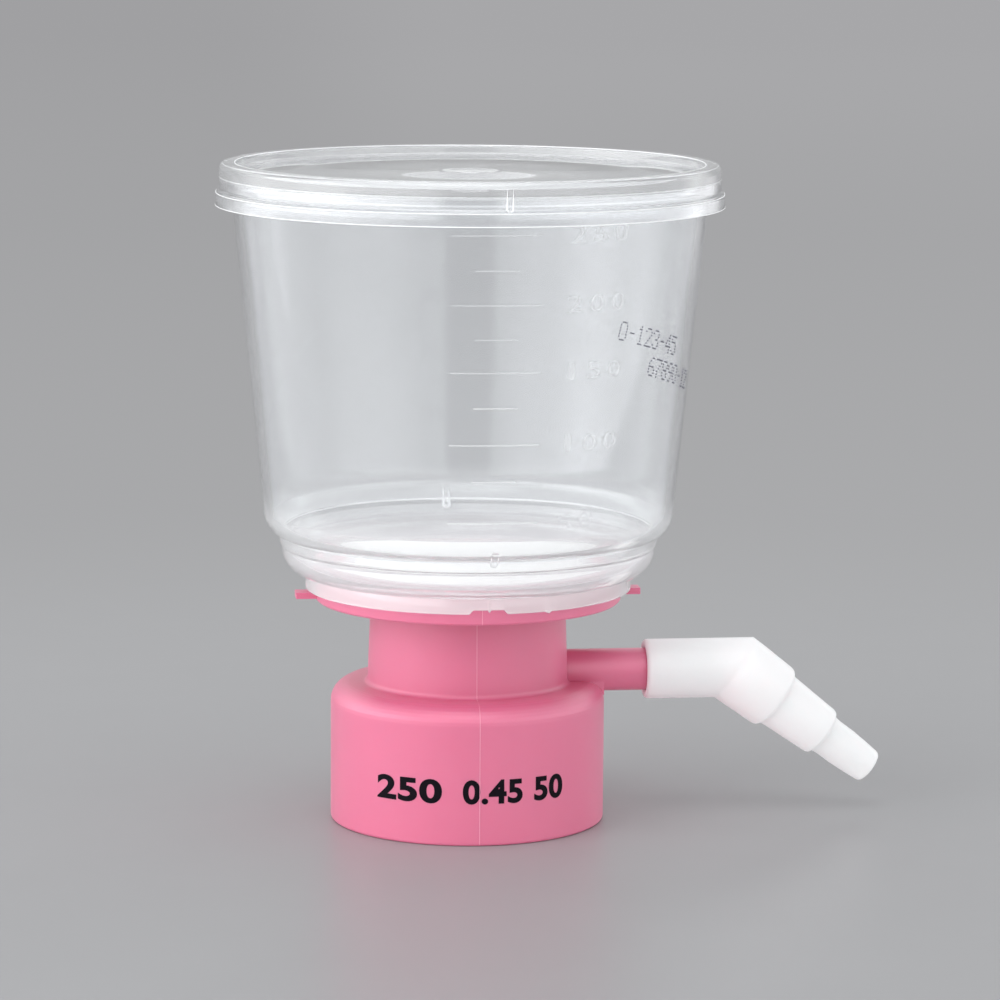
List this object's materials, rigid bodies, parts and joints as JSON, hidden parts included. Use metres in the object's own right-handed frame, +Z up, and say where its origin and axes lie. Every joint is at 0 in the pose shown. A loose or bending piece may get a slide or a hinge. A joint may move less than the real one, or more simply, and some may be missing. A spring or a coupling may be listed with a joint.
{
  "type": "vacuum filtration unit",
  "caption": "Bottle-top vacuum filter: a clear lidded funnel on a pink screw-on adapter with a membrane, a side nozzle and a stepped hose elbow.",
  "frame": {"origin": "on the axis at the foot of the bottle cap", "axes": "+Z up along the axis, +X along the vacuum nozzle"},
  "size_m": [0.1184, 0.0886, 0.1161],
  "materials": {
    "pink_plastic": "smooth moulded, satin gloss",
    "seal_rubber": "soft matt",
    "membrane_white": "fine porous matt",
    "clear_plastic": "clear polished",
    "white_plastic": "smooth moulded, soft sheen"
  },
  "bodies": {
    "unit": {"adapter": "pink_plastic", "seal_ring": "seal_rubber", "membrane": "membrane_white", "funnel": "clear_plastic"},
    "cover": {"lid": "clear_plastic"},
    "elbow": {"hose_connector": "white_plastic"}
  },
  "joints": [
    {"name": "lid_lift", "type": "slide", "parent": "unit", "child": "cover", "axis": [0, 0, 1], "range_m": [0, 0.03]},
    {"name": "elbow_swivel", "type": "hinge", "parent": "unit", "child": "elbow", "pos_m": [0.0315, 0, 0.0259], "axis": [1, 0, 0], "continuous": true}
  ]
}
